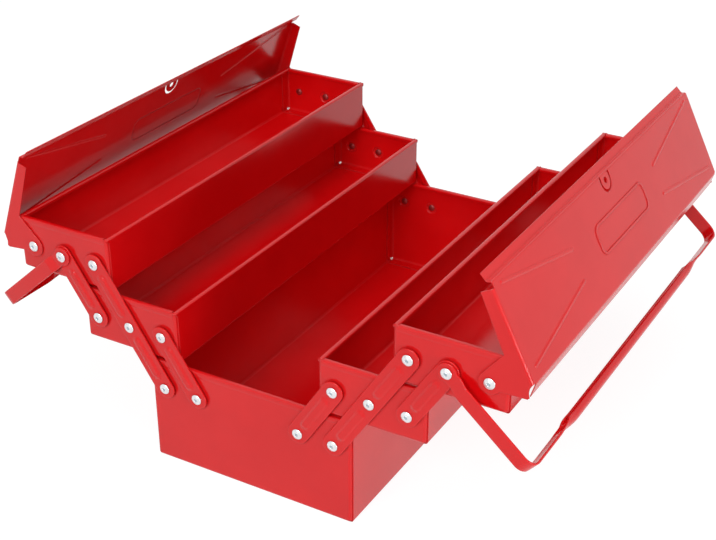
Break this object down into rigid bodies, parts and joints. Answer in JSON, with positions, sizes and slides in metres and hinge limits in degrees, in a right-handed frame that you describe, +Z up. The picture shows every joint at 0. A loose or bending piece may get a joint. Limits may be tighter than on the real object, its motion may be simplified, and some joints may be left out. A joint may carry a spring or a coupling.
{
  "type": "cantilever tool box",
  "caption": "Red sheet-steel cantilever tool box, open: base, tiered trays on riveted links, two hinged lids and two strap handles.",
  "frame": {"origin": "middle of the base's underside, which is the middle of the whole box's footprint", "axes": "+Z up, +X towards the right-hand trays, -Y towards the front end panel; X spans the opened trays"},
  "size_m": [0.5212, 0.4456, 0.2661],
  "materials": {
    "red_enamel": "gloss stove enamel",
    "zinc_plate": "bright zinc plate"
  },
  "bodies": {
    "base": {"base_shell": "red_enamel", "base_front_end": "red_enamel", "base_rear_end": "red_enamel", "base_rivets": "zinc_plate"},
    "right_lower_tray": {"right_lower_tray_shell": "red_enamel", "right_lower_tray_front_end": "red_enamel", "right_lower_tray_rear_end": "red_enamel", "right_lower_tray_rivets": "zinc_plate"},
    "right_upper_tray": {"right_upper_tray_shell": "red_enamel", "right_upper_tray_front_end": "red_enamel", "right_upper_tray_rear_end": "red_enamel", "right_upper_tray_rivets": "zinc_plate"},
    "right_front_inner_link": {"right_front_inner_link": "red_enamel"},
    "right_front_long_link": {"right_front_long_link": "red_enamel"},
    "right_front_outer_link": {"right_front_outer_link": "red_enamel"},
    "right_rear_inner_link": {"right_rear_inner_link": "red_enamel"},
    "right_rear_long_link": {"right_rear_long_link": "red_enamel"},
    "right_rear_outer_link": {"right_rear_outer_link": "red_enamel"},
    "right_lid": {"right_lid": "red_enamel"},
    "right_handle": {"right_handle": "red_enamel"},
    "left_lower_tray": {"left_lower_tray_shell": "red_enamel", "left_lower_tray_front_end": "red_enamel", "left_lower_tray_rear_end": "red_enamel", "left_lower_tray_rivets": "zinc_plate"},
    "left_upper_tray": {"left_upper_tray_shell": "red_enamel", "left_upper_tray_front_end": "red_enamel", "left_upper_tray_rear_end": "red_enamel", "left_upper_tray_rivets": "zinc_plate"},
    "left_front_inner_link": {"left_front_inner_link": "red_enamel"},
    "left_front_long_link": {"left_front_long_link": "red_enamel"},
    "left_front_outer_link": {"left_front_outer_link": "red_enamel"},
    "left_rear_inner_link": {"left_rear_inner_link": "red_enamel"},
    "left_rear_long_link": {"left_rear_long_link": "red_enamel"},
    "left_rear_outer_link": {"left_rear_outer_link": "red_enamel"},
    "left_lid": {"left_lid": "red_enamel"},
    "left_handle": {"left_handle": "red_enamel"}
  },
  "joints": [
    {"name": "right_tray_swing", "type": "hinge", "parent": "base", "child": "right_front_long_link", "pos_m": [0.084, 0, 0.0756], "axis": [0, -1, 0], "range_deg": [0, 66.34]},
    {"name": "right_lower_tray_on_long_link", "type": "hinge", "parent": "right_front_long_link", "child": "right_lower_tray", "pos_m": [0.1175, 0, 0.1268], "axis": [0, -1, 0], "range_deg": [-66.34, 0]},
    {"name": "right_upper_tray_on_long_link", "type": "hinge", "parent": "right_front_long_link", "child": "right_upper_tray", "pos_m": [0.151, 0, 0.178], "axis": [0, -1, 0], "range_deg": [-66.34, 0]},
    {"name": "right_rear_long_link_swing", "type": "hinge", "parent": "base", "child": "right_rear_long_link", "pos_m": [0.084, 0, 0.0756], "axis": [0, -1, 0], "range_deg": [0, 66.34]},
    {"name": "right_front_inner_link_swing", "type": "hinge", "parent": "base", "child": "right_front_inner_link", "pos_m": [0.0505, 0, 0.0756], "axis": [0, -1, 0], "range_deg": [0, 66.34]},
    {"name": "right_front_outer_link_swing", "type": "hinge", "parent": "right_lower_tray", "child": "right_front_outer_link", "pos_m": [0.151, 0, 0.1268], "axis": [0, -1, 0], "range_deg": [0, 66.34]},
    {"name": "right_rear_inner_link_swing", "type": "hinge", "parent": "base", "child": "right_rear_inner_link", "pos_m": [0.0505, 0, 0.0756], "axis": [0, -1, 0], "range_deg": [0, 66.34]},
    {"name": "right_rear_outer_link_swing", "type": "hinge", "parent": "right_lower_tray", "child": "right_rear_outer_link", "pos_m": [0.151, 0, 0.1268], "axis": [0, -1, 0], "range_deg": [0, 66.34]},
    {"name": "right_lid_hinge", "type": "hinge", "parent": "right_upper_tray", "child": "right_lid", "pos_m": [0.218, 0, 0.178], "axis": [0, -1, 0], "range_deg": [-47, 63]},
    {"name": "right_handle_hinge", "type": "hinge", "parent": "right_upper_tray", "child": "right_handle", "pos_m": [0.1845, 0, 0.178], "axis": [0, -1, 0], "range_deg": [0, 88]},
    {"name": "left_tray_swing", "type": "hinge", "parent": "base", "child": "left_front_long_link", "pos_m": [-0.084, 0, 0.0756], "axis": [0, 1, 0], "range_deg": [0, 66.34]},
    {"name": "left_lower_tray_on_long_link", "type": "hinge", "parent": "left_front_long_link", "child": "left_lower_tray", "pos_m": [-0.1175, 0, 0.1268], "axis": [0, 1, 0], "range_deg": [-66.34, 0]},
    {"name": "left_upper_tray_on_long_link", "type": "hinge", "parent": "left_front_long_link", "child": "left_upper_tray", "pos_m": [-0.151, 0, 0.178], "axis": [0, 1, 0], "range_deg": [-66.34, 0]},
    {"name": "left_rear_long_link_swing", "type": "hinge", "parent": "base", "child": "left_rear_long_link", "pos_m": [-0.084, 0, 0.0756], "axis": [0, 1, 0], "range_deg": [0, 66.34]},
    {"name": "left_front_inner_link_swing", "type": "hinge", "parent": "base", "child": "left_front_inner_link", "pos_m": [-0.0505, 0, 0.0756], "axis": [0, 1, 0], "range_deg": [0, 66.34]},
    {"name": "left_front_outer_link_swing", "type": "hinge", "parent": "left_lower_tray", "child": "left_front_outer_link", "pos_m": [-0.151, 0, 0.1268], "axis": [0, 1, 0], "range_deg": [0, 66.34]},
    {"name": "left_rear_inner_link_swing", "type": "hinge", "parent": "base", "child": "left_rear_inner_link", "pos_m": [-0.0505, 0, 0.0756], "axis": [0, 1, 0], "range_deg": [0, 66.34]},
    {"name": "left_rear_outer_link_swing", "type": "hinge", "parent": "left_lower_tray", "child": "left_rear_outer_link", "pos_m": [-0.151, 0, 0.1268], "axis": [0, 1, 0], "range_deg": [0, 66.34]},
    {"name": "left_lid_hinge", "type": "hinge", "parent": "left_upper_tray", "child": "left_lid", "pos_m": [-0.218, 0, 0.178], "axis": [0, 1, 0], "range_deg": [-40, 70]},
    {"name": "left_handle_hinge", "type": "hinge", "parent": "left_upper_tray", "child": "left_handle", "pos_m": [-0.1845, 0, 0.178], "axis": [0, 1, 0], "range_deg": [0, 88]}
  ],
  "couplings": [
    {"joint": "right_lower_tray_on_long_link", "follows": "right_tray_swing", "ratio": -1},
    {"joint": "right_upper_tray_on_long_link", "follows": "right_tray_swing", "ratio": -1},
    {"joint": "right_rear_long_link_swing", "follows": "right_tray_swing", "ratio": 1},
    {"joint": "right_front_inner_link_swing", "follows": "right_tray_swing", "ratio": 1},
    {"joint": "right_front_outer_link_swing", "follows": "right_tray_swing", "ratio": 1},
    {"joint": "right_rear_inner_link_swing", "follows": "right_tray_swing", "ratio": 1},
    {"joint": "right_rear_outer_link_swing", "follows": "right_tray_swing", "ratio": 1},
    {"joint": "left_lower_tray_on_long_link", "follows": "left_tray_swing", "ratio": -1},
    {"joint": "left_upper_tray_on_long_link", "follows": "left_tray_swing", "ratio": -1},
    {"joint": "left_rear_long_link_swing", "follows": "left_tray_swing", "ratio": 1},
    {"joint": "left_front_inner_link_swing", "follows": "left_tray_swing", "ratio": 1},
    {"joint": "left_front_outer_link_swing", "follows": "left_tray_swing", "ratio": 1},
    {"joint": "left_rear_inner_link_swing", "follows": "left_tray_swing", "ratio": 1},
    {"joint": "left_rear_outer_link_swing", "follows": "left_tray_swing", "ratio": 1}
  ]
}
